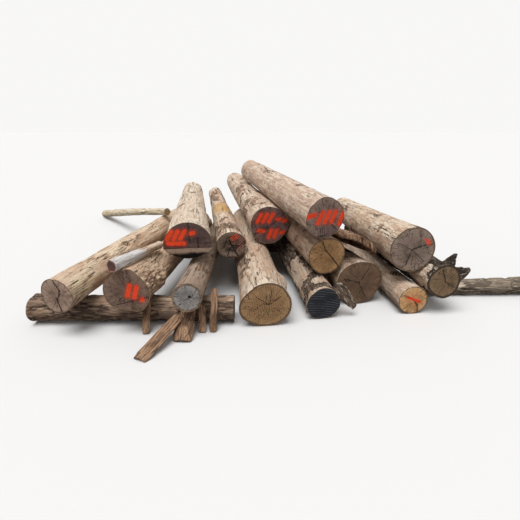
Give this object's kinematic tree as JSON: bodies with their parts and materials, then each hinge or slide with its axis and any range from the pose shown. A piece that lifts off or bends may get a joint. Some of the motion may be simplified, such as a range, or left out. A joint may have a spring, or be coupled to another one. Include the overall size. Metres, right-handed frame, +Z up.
{
  "type": "heap of logs",
  "caption": "Low heap of felled, sawn logs fanned over rough bearer logs, with poles, a split slab and loose bark.",
  "frame": {"origin": "middle of the heap's box at ground level", "axes": "+X to the right as seen facing the sawn ends, +Y back along the logs, +Z up"},
  "size_m": [6.1604, 4.2008, 1.0632],
  "materials": {
    "back_bearer_log": "weathered wood and bark, sawn end",
    "loose_bark": "loose weathered bark",
    "black_end_log": "weathered wood and bark, sawn end",
    "centre_butt_log": "weathered wood and bark, sawn end",
    "checked_end_log": "weathered wood and bark, sawn end",
    "front_bearer_log": "weathered wood and bark, sawn end",
    "furrowed_bark_slab": "weathered wood and bark, sawn end",
    "grey_end_log": "weathered wood and bark, sawn end",
    "knobby_back_log": "weathered wood and bark, sawn end",
    "lichen_log": "weathered wood and bark, sawn end",
    "long_peeled_log": "weathered wood and bark, sawn end",
    "notched_butt_log": "weathered wood and bark, sawn end",
    "oval_end_log": "weathered wood and bark, sawn end",
    "peeled_pole": "weathered wood and bark, sawn end",
    "right_bearer_log": "weathered wood and bark, sawn end",
    "root_flare_log": "weathered wood and bark, sawn end",
    "slender_right_log": "weathered wood and bark, sawn end",
    "tan_cracked_log": "weathered wood and bark, sawn end",
    "thick_bark_log": "weathered wood and bark, sawn end",
    "top_middle_log": "weathered wood and bark, sawn end",
    "top_right_log": "weathered wood and bark, sawn end",
    "white_bark_pole": "weathered wood and bark, sawn end"
  },
  "bodies": {
    "root": {"back_bearer_log": "back_bearer_log", "bark_slab_leaning": "loose_bark", "bark_slab_short": "loose_bark", "bark_strip_left": "loose_bark", "bark_strip_long": "loose_bark", "bark_strip_short": "loose_bark", "black_end_log": "black_end_log", "centre_butt_log": "centre_butt_log", "checked_end_log": "checked_end_log", "front_bearer_log": "front_bearer_log", "furrowed_bark_slab": "furrowed_bark_slab", "grey_end_log": "grey_end_log", "knobby_back_log": "knobby_back_log", "lichen_log": "lichen_log", "long_peeled_log": "long_peeled_log", "notched_butt_log": "notched_butt_log", "oval_end_log": "oval_end_log", "peeled_pole": "peeled_pole", "right_bearer_log": "right_bearer_log", "root_flare_log": "root_flare_log", "slender_right_log": "slender_right_log", "tan_cracked_log": "tan_cracked_log", "thick_bark_log": "thick_bark_log", "top_middle_log": "top_middle_log", "top_right_log": "top_right_log", "white_bark_pole": "white_bark_pole"}
  },
  "joints": []
}
